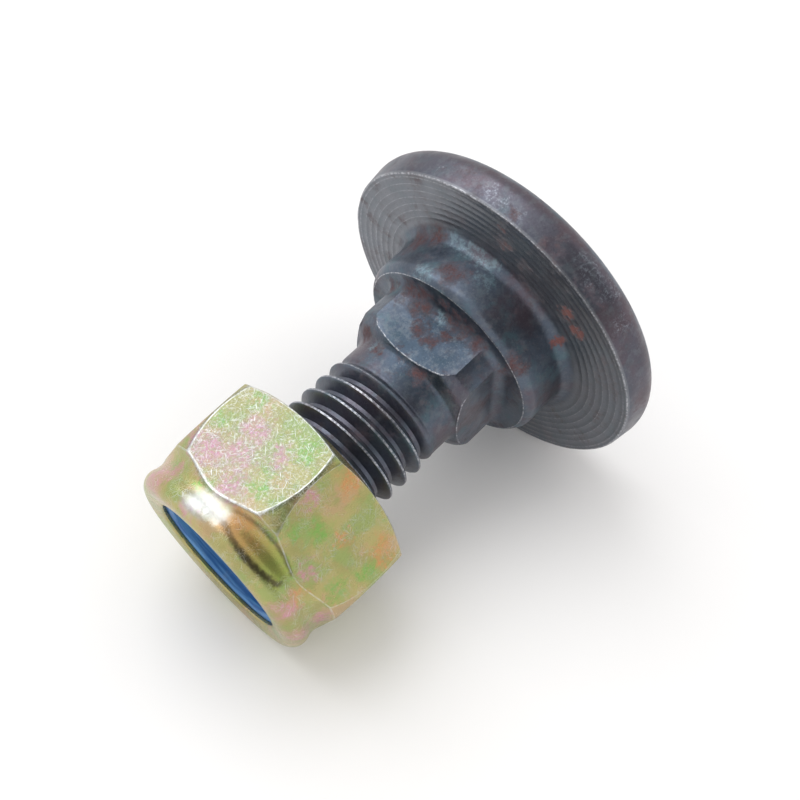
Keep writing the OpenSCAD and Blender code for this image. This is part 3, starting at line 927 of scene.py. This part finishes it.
# %% [markdown]
# ## Blue nylon
# The ring is turned from a solid dye-blue nylon. Its surface keeps fine lines that run round
# it, and a little dust lightens it in places.

# %% The ring's material
DARK_BLUE, LIGHT_BLUE, DUST = (0.014, 0.125, 0.4), (0.095, 0.3, 0.62), (0.2, 0.3, 0.44)

point, shader = surface(blue_nylon)
rounds = noise(point * (0.25, 0.25, 5.0), 1.0, 2.0, 0.5)
dust = noise(point, 0.9, 4.0, 0.7)
colour = rounds.smooth(0.35, 0.65).blend(DARK_BLUE, LIGHT_BLUE)
colour = (dust.smooth(0.52, 0.75) * 0.3).blend(colour, DUST)
dress(shader, Base_Color=colour, Roughness=0.4 + dust * 0.1, Normal=bump(rounds, 0.3, 0.05))
print("blue nylon:", len(blue_nylon.node_tree.nodes), "nodes")

# %% [markdown]
# ## Table
# The white table takes the object's soft shadow. To the camera and in reflections its top is
# almost pure white near the object, and farther out it fades to a plain white that no light
# or shade changes, so that no horizon shows from any side.

# %% Table
TABLE_HALF, FADE_FROM, FADE_TO = 2.0, 0.04, 0.2
LIT_WHITE, SEEN_WHITE, WHITE, BLACK = (0.8, 0.78, 0.75), (0.985, 0.985, 0.99), (1, 1, 1), (0, 0, 0)

table = bpy.data.meshes.new("table")
corners = [(a * TABLE_HALF, b * TABLE_HALF, 0) for a, b in ((-1, -1), (1, -1), (1, 1), (-1, 1))]
table.from_pydata(corners, [], [(0, 1, 2, 3)])
table_top = bpy.data.objects.new("table_top", table)
bpy.context.scene.collection.objects.link(table_top)

white = bpy.data.materials.new("white_table")
white.use_nodes = True
matt = Sum(white.node_tree, white.node_tree.nodes["Principled BSDF"].outputs[0])
ray = matt.node("ShaderNodeLightPath", output="Is Camera Ray")
seen = ray.most(ray.other("Is Glossy Ray"))
from_object = matt.node("ShaderNodeTexCoord", output="Object").length()
far = from_object.smooth(FADE_FROM, FADE_TO) * seen
top_colour = seen.blend(LIT_WHITE, SEEN_WHITE)
dress(matt, Base_Color=far.blend(top_colour, BLACK), Roughness=0.7,
      Emission_Color=far.blend(BLACK, WHITE), Emission_Strength=1.0)
table.materials.append(white)
print("table:", 2 * TABLE_HALF, "m wide, plain white from", FADE_TO, "m")

# %% [markdown]
# ## Camera
# The camera stands where the photograph was taken from: close to the object and looking
# down at it. Its place, turn and lens come from fitting the solid model to the photograph.

# %% Camera
camera_data = bpy.data.cameras.new("camera")
camera_data.lens = 49.86
camera_data.sensor_width = 36
camera_data.shift_x = 0.1186
camera_data.shift_y = -0.0258
camera_data.clip_start = 0.005
camera = bpy.data.objects.new("camera", camera_data)
camera.location = (0.045592, 0.044133, 0.087685)
camera.rotation_euler = [math.radians(a) for a in (42.3155, 1.9273, 137.4594)]
bpy.context.scene.collection.objects.link(camera)
bpy.context.scene.camera = camera
print("camera:", round(1000 * camera.location.length), "mm from the origin")

# %% [markdown]
# ## Light
# The room gives a soft light that is stronger from the front, and one large lamp stands for
# the window above and behind the object. A Light Path node tells the rays apart: the camera
# sees the room as plain white, and reflections see it so too, apart from one darker side in
# front, which gives the turned and plated metal its depth.

# %% The room's light
LOW_LIGHT, FRONT_LIGHT, FRONT = 0.49, 0.47, Vector((0.0, 0.78, 0.62))
WARM_WHITE = (1.0, 0.983, 0.967)

world = bpy.data.worlds.new("studio")
world.use_nodes = True
bpy.context.scene.world = world
bpy.context.scene.view_settings.view_transform = "Standard"
sky = Sum(world.node_tree, world.node_tree.nodes["Background"].outputs[0])
ray = sky.node("ShaderNodeLightPath", output="Is Camera Ray")
glossy = ray.other("Is Glossy Ray")
seen = ray.most(glossy)
direction = sky.node("ShaderNodeTexCoord", output="Generated")
toward = direction.node("ShaderNodeVectorMath", {"operation": "DOT_PRODUCT"},
                        {0: direction, 1: tuple(FRONT.normalized())}, "Value")
dark_side = toward.smooth(0.78, 0.92) * glossy
room = LOW_LIGHT + toward.smooth(-0.3, 0.9) * FRONT_LIGHT
dress(sky, Strength=seen.mix(room, 1.0) * (1.0 - dark_side * 0.75),
      Color=seen.blend(WARM_WHITE, WHITE))
print("room light from", LOW_LIGHT, "to", round(LOW_LIGHT + FRONT_LIGHT, 2))


# %% The lamp
def soft_light(name, place, size, watts):
    """A round lamp that faces the object."""
    data = bpy.data.lights.new(name, "AREA")
    data.shape = "DISK"
    data.size = size
    data.energy = watts
    lamp = bpy.data.objects.new(name, data)
    lamp.location = place
    lamp.rotation_euler = (-Vector(place)).to_track_quat("-Z", "Y").to_euler()
    bpy.context.scene.collection.objects.link(lamp)
    print(name, size, "m wide,", watts, "W")


soft_light("window above and behind", place=(0.025, -0.21, 0.45), size=0.5, watts=1.12)
